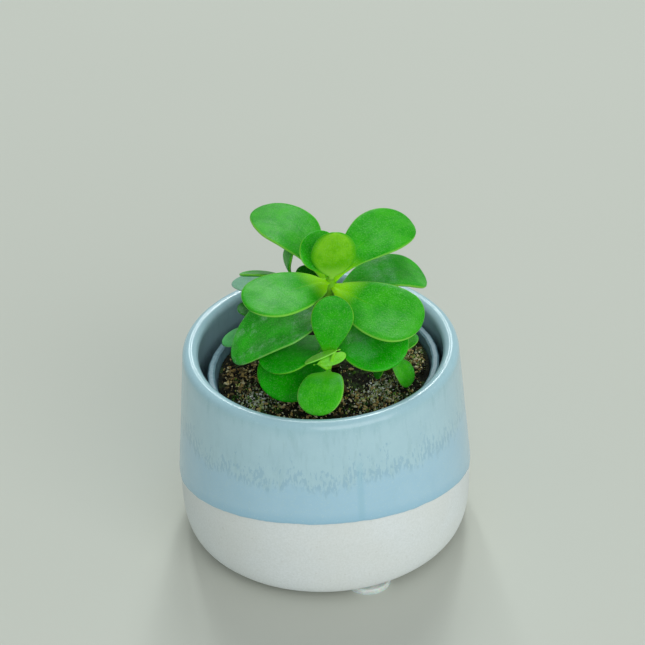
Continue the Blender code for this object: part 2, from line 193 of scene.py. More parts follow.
LEAF_LOOK = {
    "main_leaf_1_front": "young",
    "main_leaf_1_back": "inner",
    "main_leaf_2_right": "fresh",
    "main_leaf_2_left": "fresh",
    "main_leaf_3_right": "fresh",
    "main_leaf_3_left": "fresh",
    "main_leaf_4_right": "inner",
    "main_leaf_4_left": "dusty_and_sheen",
    "front_leaf_1_up": "inner",
    "front_leaf_1_down": "broad",
    "front_leaf_2_left": "bud",
    "front_leaf_2_right": "bud",
    "right_leaf_1_front": "broad",
    "right_leaf_1_back": "broad",
    "right_leaf_2_left": "inner",
    "back_leaf_1_up": "inner",
    "back_leaf_2_left": "inner",
    "back_leaf_3_back": "pale",
    # Painted shade: this leaf and main_leaf_5_back sit in shadow behind others and take the dark look.
    "back_leaf_3_left": "dark",
    "back_leaf_4_left": "soft",
    "main_leaf_5_back": "dark",
    "main_leaf_6_left": "low",
    "main_leaf_7_left": "low",
}


# --- reading the CAD back -------------------------------------------------------------------------

def cad_rings(node, sides, start_near):
    """The rings of points that a leaf or stem is built from, each an array of `sides` points.

    The first ring is the flat end nearest to start_near; each next ring is one edge away from it.
    """
    bm = bmesh.new()
    bm.from_mesh(NODES[node].data)
    bmesh.ops.remove_doubles(bm, verts=bm.verts, dist=0.001 * MM)
    bm.verts.ensure_lookup_table()
    flat = bm.copy()
    bmesh.ops.dissolve_limit(flat, angle_limit=0.001, verts=flat.verts, edges=flat.edges)
    ends = sorted(flat.faces, key=lambda face: len(face.verts))[-2:]
    middles = [face.calc_center_median() for face in ends]
    flat.free()
    start = min(middles, key=lambda point: (point - start_near).length)
    nearest = sorted(bm.verts, key=lambda vert: (vert.co - start).length)
    ring = set(nearest[:sides])
    seen = set(ring)
    rings = []
    while ring:
        rings.append(np.array([vert.co for vert in ring]))
        beside = {edge.other_vert(vert) for vert in ring for edge in vert.link_edges}
        ring = beside - seen
        seen |= ring
    bm.free()
    return rings


def smooth_through(knots, values, places):
    """Values at new places on a smooth curve through the knots."""
    slopes = np.gradient(values, knots, axis=0)
    index = np.clip(np.searchsorted(knots, places, side="right") - 1, 0, len(knots) - 2)
    span = knots[index + 1] - knots[index]
    t = (places - knots[index]) / span
    if values.ndim > 1:
        t = t[:, None]
        span = span[:, None]
    start = values[index] * (2 * t**3 - 3 * t**2 + 1) + slopes[index] * span * (t**3 - 2 * t**2 + t)
    end = values[index + 1] * (3 * t**2 - 2 * t**3) + slopes[index + 1] * span * (t**3 - t**2)
    return start + end


# --- meshes ---------------------------------------------------------------------------------------

def mesh_piece(name, points, faces, material, attributes=None):
    """A smooth mesh object that rides on the plant's one body."""
    mesh = bpy.data.meshes.new(name)
    mesh.from_pydata([tuple(point) for point in points], [], faces)
    mesh.polygons.foreach_set("use_smooth", [True] * len(mesh.polygons))
    for key, values in (attributes or {}).items():
        layer = mesh.attributes.new(key, "FLOAT", "POINT")
        layer.data.foreach_set("value", np.asarray(values, np.float32))
    mesh.materials.append(material)
    bm = bmesh.new()
    bm.from_mesh(mesh)
    bmesh.ops.recalc_face_normals(bm, faces=bm.faces)
    bm.to_mesh(mesh)
    bm.free()
    piece = bpy.data.objects.new(name, mesh)
    bpy.context.scene.collection.objects.link(piece)
    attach(piece, "root")
    return piece


def tube_faces(rings, around, close_start=True, close_end=True):
    """Quads between rings of points laid out one after another, with a cap at either end."""
    faces = []
    for ring in range(rings - 1):
        for i in range(around):
            j = (i + 1) % around
            low, high = ring * around, (ring + 1) * around
            faces.append((low + i, low + j, high + j, high + i))
    if close_start:
        faces.append(tuple(range(around)))
    if close_end:
        faces.append(tuple((rings - 1) * around + i for i in range(around)))
    return faces


def unevenness(point, size, seed=0.0):
    """Smooth noise between about -1 and 1 whose bumps are `size` across."""
    return noise.noise(Vector(point) / size + Vector((seed, 0.0, 0.0)))


# --- shader helpers -------------------------------------------------------------------------------

class Shader:
    """A material whose nodes are added by kind, with their inputs given by name."""

    def __init__(self, name):
        self.material = bpy.data.materials.new(name)
        self.material.use_nodes = True
        self.tree = self.material.node_tree
        self.surface = self.tree.nodes["Principled BSDF"]
        coordinates = self.tree.nodes.new("ShaderNodeTexCoord")
        self.place = coordinates.outputs["Object"]

    def put(self, node, key, value):
        socket = node.inputs[key]
        if isinstance(value, bpy.types.NodeSocket):
            self.tree.links.new(value, socket)
        elif isinstance(value, tuple) and len(value) == 3 and socket.type == "RGBA":
            socket.default_value = (*value, 1.0)
        else:
            socket.default_value = value

    def add(self, kind, inputs=None, **settings):
        node = self.tree.nodes.new("ShaderNode" + kind)
        for key, value in settings.items():
            setattr(node, key, value)
        for key, value in (inputs or {}).items():
            self.put(node, key, value)
        return node

    def attribute(self, name):
        return self.add("Attribute", attribute_name=name).outputs["Fac"]

    def noise(self, size, detail=2.0, place=None, rough=0.5):
        """Noise with bumps about `size` metres across."""
        node = self.add("TexNoise", {"Vector": place or self.place, "Scale": 1.0 / size,
                                     "Detail": detail, "Roughness": rough})
        return node.outputs["Fac"]

    def math(self, operation, first, second=0.0, clamp=False):
        node = self.add("Math", {0: first, 1: second}, operation=operation, use_clamp=clamp)
        return node.outputs[0]

    def ramp(self, value, low, high, start=0.0, end=1.0):
        """Smooth step from `start` to `end` as value goes from low to high."""
        node = self.add("MapRange", {"Value": value, "From Min": low, "From Max": high,
                                     "To Min": start, "To Max": end}, interpolation_type="SMOOTHSTEP")
        return node.outputs["Result"]

    def mix(self, factor, first, second, blend="MIX"):
        node = self.add("Mix", data_type="RGBA", blend_type=blend)
        self.put(node, 0, factor)
        self.put(node, 6, first)
        self.put(node, 7, second)
        return node.outputs[2]

    def bump(self, height, strength, distance):
        node = self.add("Bump", {"Height": height, "Strength": strength, "Distance": distance})
        return node.outputs["Normal"]

    def set(self, **inputs):
        for key, value in inputs.items():
            self.put(self.surface, key.replace("_", " "), value)


# --- ceramic pot ----------------------------------------------------------------------------------

def pot_outer_radius(height):
    """Outside radius of the pot at a height above its base."""
    if height < POT_WIDEST_HEIGHT:
        share = 1 - (1 - height / POT_WIDEST_HEIGHT) ** POT_CORNER_POWER
        return POT_FOOT_RADIUS + (POT_RADIUS - POT_FOOT_RADIUS) * share ** (1 / POT_CORNER_POWER)
    share = (height - POT_WIDEST_HEIGHT) / (POT_HEIGHT - POT_LIP_RADIUS - POT_WIDEST_HEIGHT)
    return POT_RADIUS - (POT_RADIUS - POT_RIM_RADIUS) * share


def arc(radius, height, size, start, end, steps):
    """(radius, height) points on a circle from one angle to another, in degrees."""
    angles = np.radians(np.linspace(start, end, steps))
    return [(radius + size * math.cos(a), height + size * math.sin(a)) for a in angles]


def pot_profile():
    """(radius, height) points from the middle of the pot's floor, over its lip, to under its foot."""
    corner = pot_outer_radius(POT_FLOOR + POT_CAVITY_CORNER) - POT_WALL - POT_CAVITY_CORNER
    lip_height = POT_HEIGHT - POT_LIP_RADIUS
    corner_height = POT_FLOOR + POT_CAVITY_CORNER
    inner = np.linspace(corner_height, lip_height, 60)[1:-1]
    outer = np.linspace(lip_height, POT_WIDEST_HEIGHT, 90)[1:-1]
    turn = np.linspace(math.pi / 2, 0.0, 60)
    profile = [(share * corner, POT_FLOOR) for share in (0.02, 0.35, 0.7)]
    profile += arc(corner, corner_height, POT_CAVITY_CORNER, -90, 0, 12)
    profile += [(pot_outer_radius(height) - POT_WALL, height) for height in inner]
    profile += arc(POT_RIM_RADIUS - POT_LIP_RADIUS, lip_height, POT_LIP_RADIUS, 180, 0, 24)
    profile += [(pot_outer_radius(height), height) for height in outer]
    for angle in turn:
        fall = math.cos(angle) ** (2 / POT_CORNER_POWER) if angle < math.pi / 2 else 0.0
        height = POT_WIDEST_HEIGHT * (1 - fall)
        profile.append((pot_outer_radius(height), height))
    profile += [(share * POT_FOOT_RADIUS, 0.0) for share in (0.97, 0.9, 0.5, 0.02)]
    return profile


def over_glaze_edge(x, y, height):
    """Height of a point of the outside wall over the wavy lower edge of the glaze."""
    edge = GLAZE_EDGE_HEIGHT + GLAZE_SLOPE.dot(Vector((x, y)))
    wave = unevenness((x, y, 0.0), 6 * MM) + 0.5 * unevenness((x, y, 0.0), 1.5 * MM)
    return height - edge - GLAZE_WAVE * wave


def make_pot():
    profile = pot_profile()
    lip_top = max(range(len(profile)), key=lambda i: profile[i][1])
    points = []
    over_edge = []
    over_break = []
    for number, (radius, height) in enumerate(profile):
        outside = number > lip_top
        for i in range(POT_AROUND):
            angle = 2 * math.pi * i / POT_AROUND
            x, y = radius * math.cos(angle), radius * math.sin(angle)
            over = over_glaze_edge(x, y, height) if outside else POT_HEIGHT
            raw = 1.0 - min(max(over / (2 * GLAZE_THICKNESS) + 0.5, 0.0), 1.0)
            shrink = GLAZE_THICKNESS * raw if outside and height > 0 else 0.0
            shrink += 0.05 * MM * (1 + unevenness((x, y, height), 14 * MM))
            scale = 1 - shrink / max(radius, POT_WALL)
            points.append((x * scale, y * scale, POT_LOW.z + height))
            over_edge.append(over)
            rise = BREAK_RISE * (1 - math.cos(angle - BREAK_FRONT))
            wander = 3 * MM * unevenness((x, y, 0.0), 16 * MM, 5.0)
            over_break.append(over - BREAK_HEIGHT - rise - wander if outside else POT_HEIGHT)
    faces = tube_faces(len(profile), POT_AROUND)
    pot = mesh_piece("fine_ceramic_pot", points, faces, pot_material(),
                     {"over_edge": over_edge, "over_break": over_break})
    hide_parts("ceramic_pot")


def pot_material():
    shader = Shader("two_tone_ceramic")
    over = shader.attribute("over_edge")
    over_break = shader.attribute("over_break")
    raw_colour = stoneware_colour(shader)
    streaks = glaze_streaks(shader)
    runny = shader.math("ADD", over_break, shader.math("MULTIPLY", streaks, 9 * MM))
    upper = shader.ramp(runny, -3.5 * MM, 1.5 * MM)
    cloud = shader.noise(7 * MM, 4.0, rough=0.6)
    lower_colour = shader.mix(cloud, (0.34, 0.57, 0.715), (0.405, 0.625, 0.755))
    upper_colour = shader.mix(cloud, (0.37, 0.575, 0.66), (0.44, 0.655, 0.725))
    lines = shader.ramp(streaks, 0.02, 0.22, 0.0, 0.22)
    upper_colour = shader.mix(lines, upper_colour, (0.25, 0.43, 0.48))
    mottle = shader.ramp(shader.noise(0.8 * MM, 3.0, rough=0.65), 0.46, 0.62, 0.0, 0.45)
    lower_colour = shader.mix(mottle, lower_colour, shader.mix(0.6, lower_colour, upper_colour))
    glaze = shader.mix(upper, lower_colour, upper_colour)
    glaze = shader.mix(shader.math("MULTIPLY", fleck_mask(shader, runny), 0.42), glaze, FLECK_COLOUR)
    drip = shader.math("MULTIPLY", drip_mask(shader), 0.35)
    glaze = shader.mix(drip, glaze, (0.25, 0.50, 0.62))
    pool = shader.ramp(over, 4.0 * MM, 0.2 * MM, 0.0, 0.5)
    glaze = shader.mix(pool, glaze, (0.25, 0.48, 0.64))
    glaze = shader.mix(rim_mask(shader), glaze, (0.24, 0.47, 0.53))
    speck = shader.ramp(shader.noise(0.45 * MM, 1.0), 0.62, 0.74, 0.0, 0.35)
    glaze = shader.mix(speck, glaze, (0.50, 0.70, 0.74))
    glazed = shader.ramp(over, -0.12 * MM, 0.12 * MM)
    grain = shader.noise(0.35 * MM, 3.0, rough=0.7)
    raw_normal = shader.bump(grain, 0.25, 0.08 * MM)
    glaze_normal = shader.bump(shader.noise(5 * MM, 2.0), 0.05, 0.6 * MM)
    shader.set(Base_Color=shader.mix(glazed, raw_colour, glaze))
    shader.set(Roughness=shader.ramp(glazed, 0.0, 1.0, 0.80, 0.25))
    shader.set(Normal=shader.mix(glazed, raw_normal, glaze_normal))
    shader.set(Coat_Weight=shader.math("MULTIPLY", glazed, 0.4))
    shader.set(Coat_Roughness=0.05)
    return shader.material


def stoneware_colour(shader):
    """Unglazed cream clay with a fine pale grain and a few brown specks."""
    grain = shader.noise(0.6 * MM, 4.0, rough=0.7)
    clay = shader.mix(shader.ramp(grain, 0.35, 0.65), (0.68, 0.73, 0.73), (0.74, 0.79, 0.80))
    tint = shader.noise(18 * MM, 2.0)
    clay = shader.mix(shader.ramp(tint, 0.3, 0.7, 0.0, 0.25), clay, (0.66, 0.67, 0.60))
    specks = shader.ramp(shader.noise(0.9 * MM, 0.0), 0.76, 0.82, 0.0, 0.12)
    return shader.mix(specks, clay, (0.33, 0.30, 0.24))


def stretched(shader, across, along):
    """Coordinates that stretch a pattern up and down the pot wall, in bumps of these sizes."""
    node = shader.add("Mapping", {"Vector": shader.place,
                                  "Scale": (1 / across, 1 / across, 1 / along)})
    return node.outputs["Vector"]


def glaze_streaks(shader):
    """Uneven runs of the upper glaze, from about -0.5 to 0.5."""
    wide = shader.add("TexNoise", {"Vector": stretched(shader, 2.2 * MM, 12 * MM), "Scale": 1.0,
                                   "Detail": 3.0, "Roughness": 0.65})
    return shader.math("SUBTRACT", wide.outputs["Fac"], 0.5)


def fleck_mask(shader, over_break):
    """Short upright flecks where the two glazes meet, thinning out upwards."""
    grain = shader.add("TexNoise", {"Vector": stretched(shader, 0.8 * MM, 2.6 * MM), "Scale": 1.0,
                                    "Detail": 3.0, "Roughness": 0.6}).outputs["Fac"]
    patches = shader.math("MULTIPLY", shader.math("SUBTRACT", shader.noise(5 * MM, 2.0), 0.5), 0.25)
    thinning = shader.ramp(over_break, -1.0 * MM, FLECK_BAND, 0.0, 0.20)
    level = shader.math("ADD", shader.math("SUBTRACT", grain, thinning), patches)
    below = shader.ramp(over_break, -3.0 * MM, -0.6 * MM)
    above = shader.ramp(over_break, 1.25 * FLECK_BAND, 0.6 * FLECK_BAND)
    zone = shader.math("MULTIPLY", below, above)
    return shader.math("MULTIPLY", zone, shader.ramp(level, 0.44, 0.56))


def drip_mask(shader):
    """One faint upright run of glaze on the front."""
    side = (-math.sin(DRIP_DIRECTION), math.cos(DRIP_DIRECTION), 0.0)
    across = shader.add("VectorMath", {0: shader.place, 1: side}, operation="DOT_PRODUCT")
    offset = shader.math("ABSOLUTE", across.outputs["Value"])
    height = shader.add("SeparateXYZ", {0: shader.place})
    front = shader.ramp(height.outputs["Y"], 0.0, -20 * MM)
    low = shader.ramp(height.outputs["Z"], 24 * MM, 27 * MM)
    high = shader.ramp(height.outputs["Z"], 50 * MM, 44 * MM)
    line = shader.math("MULTIPLY", shader.ramp(offset, 1.5 * MM, 0.3 * MM), front)
    return shader.math("MULTIPLY", line, shader.math("MULTIPLY", low, high))


def rim_mask(shader):
    """Where the glaze runs thin on the lip."""
    height = shader.add("SeparateXYZ", {0: shader.place}).outputs["Z"]
    ragged = shader.math("MULTIPLY", glaze_streaks(shader), 5 * MM)
    level = shader.math("ADD", height, ragged)
    return shader.ramp(level, POT_HIGH.z - 5.5 * MM, POT_HIGH.z - 1.0 * MM, 0.0, 0.28)


# --- leaves ---------------------------------------------------------------------------------------

LeafShape = namedtuple("LeafShape", "places middle side top half_width half_thick")


def stem_of(leaf):
    """Name of the CAD stem that a leaf grows from."""
    for shoot in ("front", "back", "right"):
        if leaf.startswith(shoot):
            return shoot + "_shoot_stem"
    return "main_stem"


def stem_middle(stem, height):
    """The point on the upright line through the middle of the stem's box nearest to a height."""
    low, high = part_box(stem)
    middle = (low + high) / 2
    return Vector((middle.x, middle.y, min(max(height, low.z), high.z)))


def stem_ring_middles(leaf):
    """The middles of the rings that the leaf's own stem is built from, its foot first."""
    stem = stem_of(leaf)
    rings = cad_rings(stem, CAD_STEM_SIDES, stem_middle(stem, 0.0))
    return np.array([points.mean(axis=0) for points in rings])


def stem_distance(leaf, ring):
    """How far the middle of a ring is from the nearest ring middle of the leaf's own stem."""
    return np.linalg.norm(stem_ring_middles(leaf) - ring.mean(axis=0), axis=1).min()


def measure_leaf(name):
    """The leaf's middle line, directions and sizes, read from the rings of its CAD node."""
    low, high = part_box(name)
    reference = stem_middle(stem_of(name), (low.z + high.z) / 2)
    rings = cad_rings(name, CAD_LEAF_SIDES, reference)
    if stem_distance(name, rings[-1]) < stem_distance(name, rings[0]):
        rings = rings[::-1]
    middles = np.array([ring.mean(axis=0) for ring in rings])
    along = np.gradient(middles, axis=0)
    sides, tops, widths, thicks = [], [], [], []
    before = None
    for ring, middle, forward in zip(rings, middles, along):
        forward = forward / np.linalg.norm(forward)
        offsets = ring - middle
        side = np.linalg.svd(offsets)[2][0]
        side -= forward * side.dot(forward)
        side /= np.linalg.norm(side)
        if before is not None and side.dot(before) < 0:
            side = -side
        before = side
        top = np.cross(forward, side)
        across = offsets @ side
        near_middle = np.abs(across) < 0.3 * np.abs(across).max()
        sides.append(side)
        tops.append(top)
        widths.append(np.abs(across).max())
        thicks.append(np.ptp((offsets @ top)[near_middle]) / 2)
    widest = int(np.argmax(widths))
    offsets = rings[widest] - middles[widest]
    edges = np.abs(offsets @ sides[widest]) > 0.8 * widths[widest]
    flip = np.sign((offsets @ tops[widest])[edges].mean()) or 1.0
    steps = np.linalg.norm(np.diff(middles, axis=0), axis=1)
    places = np.concatenate([[0.0], np.cumsum(steps)])
    return LeafShape(places, middles, np.array(sides) * flip, np.array(tops) * flip,
                     np.array(widths), np.array(thicks))


def with_ends(shape):
    """The shape carried on past its foot, towards the stem, and to its rounded tip."""
    places, middle = shape.places, shape.middle
    foot_way = (middle[0] - middle[1]) / (places[1] - places[0])
    tip_way = (middle[-1] - middle[-2]) / (places[-1] - places[-2])
    tip_step = 0.006 * places[-1]
    foot = middle[0] + foot_way * LEAF_FOOT_REACH
    tip = middle[-1] + tip_way * tip_step
    places = np.concatenate([[-LEAF_FOOT_REACH], places, [places[-1] + tip_step]])
    middle = np.vstack([foot, middle, tip])
    side = np.vstack([shape.side[0], shape.side, shape.side[-1]])
    top = np.vstack([shape.top[0], shape.top, shape.top[-1]])
    width = np.concatenate([shape.half_width[:1] * 0.8, shape.half_width, [0.0]])
    thick = np.concatenate([shape.half_thick[:1], shape.half_thick, [0.0]])
    return LeafShape(places, middle, side, top, width, thick)


def stalk_points(name, foot, inner):
    """Points of a short stalk that joins a leaf foot standing well away from its stem, or none."""
    middles = stem_ring_middles(name)
    runs = [np.linspace(low, high, STEM_LINE_STEPS) for low, high in zip(middles, middles[1:])]
    line = np.concatenate(runs)
    start = line[np.linalg.norm(line - foot, axis=1).argmin()]
    if np.linalg.norm(foot - start) < STALK_FROM:
        return []
    end = foot + STALK_INTO_LEAF * (inner - foot)
    way = Vector(end - start).normalized()
    first = np.array(way.orthogonal().normalized())
    second = np.cross(np.array(way), first)
    points = []
    for share in np.linspace(0.0, 1.0, STALK_STATIONS):
        radius = STALK_RADIUS * (1.0 - STALK_TAPER * share)
        for i in range(STALK_AROUND):
            angle = 2 * math.pi * i / STALK_AROUND
            out = first * math.cos(angle) + second * math.sin(angle)
            points.append(start + (end - start) * share + out * radius)
    return points


def make_leaf(name, materials):
    """A finer leaf over its CAD node, grooved along its middle, with a stalk where it needs one."""
    shape = with_ends(measure_leaf(name))
    first, last = shape.places[0], shape.places[-1]
    turn = np.linspace(0.0, 1.0, LEAF_STATIONS)
    spread = 0.5 * turn + 0.5 * np.sin(turn * math.pi / 2)
    spread[-1] = 0.9995
    places = first + (last - first) * spread
    middles = smooth_through(shape.places, shape.middle, places)
    sides = smooth_through(shape.places, shape.side, places)
    tops = smooth_through(shape.places, shape.top, places)
    squares = smooth_through(shape.places, shape.half_width**2, places)
    thick_squares = smooth_through(shape.places, shape.half_thick**2, places)
    widths = np.sqrt(np.maximum(squares, 0.0))
    thicks = np.sqrt(np.maximum(thick_squares, 0.0))
    points, along, across_share, upper = [], [], [], []
    stations = zip(places / last, middles, sides, tops, widths, thicks)
    for share, middle, side, top, width, thick in stations:
        for i in range(LEAF_AROUND):
            angle = 2 * math.pi * i / LEAF_AROUND
            across, rise = math.cos(angle), math.sin(angle)
            bulge = thick * math.copysign(abs(rise) ** LEAF_SECTION_POWER, rise)
            cup = LEAF_CUP * width * (across**2 - 0.5)
            place = middle + side * (width * across) + top * (bulge + cup)
            facing = 1.0 if rise >= 0 else -1.0
            ripple = LEAF_TEXTURE_HEIGHT * unevenness(place, 5 * MM) * abs(rise)
            channel = 0.35 * thick * math.exp(-((across / 0.2) ** 2)) * max(0.0, 0.8 - share)
            place = place + top * (ripple - (channel if facing > 0 else 0.0))
            points.append(place)
            along.append(share)
            across_share.append(abs(across))
            upper.append(0.5 + 0.5 * rise)
    faces = tube_faces(LEAF_STATIONS, LEAF_AROUND)
    stalk = stalk_points(name, shape.middle[1], shape.middle[2])
    if stalk:
        start = len(points)
        stalk_faces = tube_faces(STALK_STATIONS, STALK_AROUND)
        faces += [tuple(start + i for i in face) for face in stalk_faces]
        points += stalk
        along += [0.0] * len(stalk)
        across_share += [0.5] * len(stalk)
        upper += [0.5] * len(stalk)
    look = LEAF_LOOK.get(name, "old")
    piece = mesh_piece("fine_" + name, points, faces,
                       materials[look], {"along": along, "across": across_share, "upper": upper})
    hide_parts(name)


def leaf_material(name, look):
    shader = Shader("leaf_" + name)
    along = shader.attribute("along")
    across = shader.attribute("across")
    upper = shader.attribute("upper")
    cells = shader.noise(0.45 * MM, 2.0, rough=0.6)
    clouds = shader.noise(6 * MM, 4.0, rough=0.6)
    fibres = leaf_fibres(shader, along, across, upper)
    blotches = shader.math("ADD", shader.math("MULTIPLY", clouds, 0.55),
                           shader.math("MULTIPLY", cells, 0.25))
    tone = shader.ramp(shader.math("ADD", blotches, shader.math("MULTIPLY", fibres, 0.2)), 0.38, 0.62)
    green = shader.mix(tone, look.deep, look.bright)
    midline = shader.ramp(across, 0.05, 0.0)
    vein = shader.math("MULTIPLY", midline, shader.ramp(along, 0.55, 0.1, 0.0, 0.3))
    green = shader.mix(shader.math("MULTIPLY", vein, upper), green, look.foot)
    wander = shader.math("MULTIPLY", shader.math("SUBTRACT", clouds, 0.5), 0.12)
    green = shader.mix(shader.ramp(shader.math("ADD", along, wander), 0.30, 0.02), green, look.foot)
    # Margin colour from look.rim out to the edge: a lighter rim on most leaves; on young leaves a
    # darker one, so the middle shows a painted glow of light shining through.
    rim = shader.ramp(across, look.rim, min(1.0, look.rim + 0.5), 0.0, 0.9)
    green = shader.mix(rim, green, look.margin)
    stipple = shader.ramp(shader.noise(0.36 * MM, 1.0), 0.52, 0.68, 0.0, 0.17)
    green = shader.mix(stipple, green, (0.30, 0.62, 0.22))
    # Pale patches on the upper face: a wax bloom that also serves as painted sheen.
    patches = shader.ramp(shader.noise(4.5 * MM, 5.0, rough=0.7), 0.50, 0.66)
    bloom = shader.math("MULTIPLY", shader.math("MULTIPLY", patches, upper), look.bloom)
    green = shader.mix(bloom, green, (0.22, 0.48, 0.24))
    # Painted glints: fine pale specks inside the bloom patches that stand for tiny highlights.
    painted_glints = shader.math("MULTIPLY", shader.ramp(shader.noise(0.24 * MM, 1.0), 0.58, 0.68), bloom)
    green = shader.mix(shader.math("MULTIPLY", painted_glints, 1.6, clamp=True), green, (0.50, 0.82, 0.62))
    green = shader.mix(sky_sheen(shader, look.gloss), green, (0.33, 0.66, 0.45))
    height = shader.math("ADD", shader.math("MULTIPLY", cells, 0.7),
                         shader.math("MULTIPLY", shader.noise(1.8 * MM, 3.0), 1.4))
    shader.set(Base_Color=green)
    shader.set(Roughness=shader.ramp(cells, 0.3, 0.7, look.roughness - 0.07, look.roughness + 0.07))
    shader.set(Normal=shader.bump(height, 0.6, 0.10 * MM))
    shader.set(Specular_IOR_Level=0.08, Coat_Roughness=0.26)
    film = shader.ramp(shader.noise(9 * MM, 1.0), 0.40, 0.62, 0.25, 0.8)
    shader.set(Coat_Weight=shader.math("MULTIPLY", film, look.gloss))
    shader.set(Coat_Normal=shader.bump(height, 0.8, 0.12 * MM))
    shader.set(Subsurface_Weight=0.15, Subsurface_Scale=0.8 * MM, Subsurface_Radius=(0.4, 1.0, 0.1))
    return shader.material


def sky_sheen(shader, gloss):
    """Stippled pale sheen painted on the parts of a leaf that face SHEEN_FACING."""
    normal = shader.add("NewGeometry").outputs["Normal"]
    facing = shader.add("VectorMath", {0: normal, 1: SHEEN_FACING}, operation="DOT_PRODUCT")
    stipple = shader.ramp(shader.noise(0.34 * MM, 2.0, rough=0.7), 0.42, 0.62, 0.25, 1.0)
    patches = shader.ramp(shader.noise(5 * MM, 2.0), 0.38, 0.60, 0.2, 1.0)
    sheen = shader.math("MULTIPLY", shader.ramp(facing.outputs["Value"], 0.965, 0.997), stipple)
    return shader.math("MULTIPLY", shader.math("MULTIPLY", sheen, patches), 1.3 * gloss**2)


def leaf_fibres(shader, along, across, upper):
    """Fine streaks that run from the foot of a leaf to its tip."""
    place = shader.add("CombineXYZ", {"X": shader.math("MULTIPLY", along, 3.0),
                                      "Y": shader.math("MULTIPLY", across, 26.0), "Z": upper})
    streaks = shader.add("TexNoise", {"Vector": place.outputs["Vector"], "Scale": 1.0, "Detail": 2.0})
    return streaks.outputs["Fac"]


# --- stems ----------------------------------------------------------------------------------------

def make_stem(name, material):
    """A finer stem through the rings of its CAD node, with a swelling at each node."""
    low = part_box(name)[0]
    rings = cad_rings(name, CAD_STEM_SIDES, stem_middle(name, low.z))
    middles = np.array([ring.mean(axis=0) for ring in rings])
    radii = np.array([np.linalg.norm(ring - ring.mean(axis=0), axis=1).mean() for ring in rings])
    steps = np.linalg.norm(np.diff(middles, axis=0), axis=1)
    places = np.concatenate([[0.0], np.cumsum(steps)])
    count = max(10, int(places[-1] / STEM_STEP))
    fine = np.linspace(0.0, places[-1], count)
    centres = smooth_through(places, middles, fine)
    sizes = smooth_through(places, radii, fine)
    points, along = [], []
    for place, centre, size in zip(fine, centres, sizes):
        for i in range(STEM_AROUND):
            angle = 2 * math.pi * i / STEM_AROUND
            out = np.array((math.cos(angle), math.sin(angle), 0.0))
            node = 0.06 * math.sin(2 * math.pi * place / STEM_NODE_SPACING) ** 3
            bark = 0.07 * unevenness(tuple(centre + out * size), 1.4 * MM)
            points.append(centre + out * size * (1 + node + bark))
            along.append(place / places[-1])
    faces = tube_faces(count, STEM_AROUND)
    piece = mesh_piece("fine_" + name, points, faces, material, {"along": along})
    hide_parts(name)


def stem_material():
    shader = Shader("green_brown_stem")
    along = shader.attribute("along")
    bark = shader.noise(1.2 * MM, 4.0, rough=0.7)
    blend = shader.math("ADD", along, shader.math("MULTIPLY", shader.math("SUBTRACT", bark, 0.5), 0.6))
    colour = shader.mix(shader.ramp(blend, 0.15, 0.70), (0.09, 0.070, 0.02), (0.10, 0.22, 0.010))
    scars = shader.ramp(shader.noise(0.5 * MM, 2.0), 0.60, 0.70, 0.0, 0.4)
    colour = shader.mix(scars, colour, (0.18, 0.17, 0.06))
    colour = shader.mix(shader.ramp(blend, 0.66, 0.86), colour, (0.18, 0.54, 0.004))
    shader.set(Base_Color=colour)
    shader.set(Roughness=shader.ramp(bark, 0.3, 0.7, 0.45, 0.65))
    shader.set(Normal=shader.bump(bark, 0.4, 0.12 * MM))
    return shader.material


# --- potting mix ----------------------------------------------------------------------------------

class SoilTop:
    """The CAD soil's own top surface, with a finer unevenness laid over it."""

    def __init__(self):
        low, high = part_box("potting_soil")
        self.low = low.z
        self.high = high.z
        self.middle = Vector(((low.x + high.x) / 2, (low.y + high.y) / 2))
        self.radius = (high.y - low.y) / 2
        mesh = NODES["potting_soil"].data
        points = [vert.co.copy() for vert in mesh.vertices]
        self.tree = BVHTree.FromPolygons(points, [tuple(face.vertices) for face in mesh.polygons])

    def height(self, x, y):
        """Height of the finished surface at a point near the middle line of the liner."""
        offset = Vector((x, y)) - self.middle
        reach = min(1.0, SOIL_SAMPLED_TO * self.radius / max(offset.length, MM))
        inside = self.middle + offset * reach
        start = Vector((inside.x, inside.y, self.high + 5 * MM))
        hit = self.tree.ray_cast(start, Vector((0, 0, -1)))[0]
        base = hit.z if hit else self.high
        place = (x, y, 0.0)
        lumps = 0.50 * unevenness(place, 7 * MM) + 0.35 * unevenness(place, 2.6 * MM)
        grain = 0.35 * unevenness(place, 0.9 * MM)
        return base + SOIL_LUMP * (lumps + grain)


def make_soil(top):
    points = [(top.middle.x, top.middle.y, top.height(*top.middle))]
    for ring in range(1, SOIL_RINGS + 1):
        radius = top.radius * ring / SOIL_RINGS
        for i in range(SOIL_AROUND):
            angle = 2 * math.pi * i / SOIL_AROUND
            x = top.middle.x + radius * math.cos(angle)
            y = top.middle.y + radius * math.sin(angle)
            points.append((x, y, top.height(x, y)))
    foot = top.low + 0.5 * MM
    for i in range(SOIL_AROUND):
        angle = 2 * math.pi * i / SOIL_AROUND
        radius = SOIL_FOOT_SHARE * top.radius
        points.append((top.middle.x + radius * math.cos(angle), radius * math.sin(angle), foot))
    faces = [(0, 1 + i, 1 + (i + 1) % SOIL_AROUND) for i in range(SOIL_AROUND)]
    for quad in tube_faces(SOIL_RINGS + 1, SOIL_AROUND, close_start=False):
        faces.append(tuple(index + 1 for index in quad))
    soil = mesh_piece("fine_potting_soil", points, faces, soil_material())
    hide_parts("potting_soil")


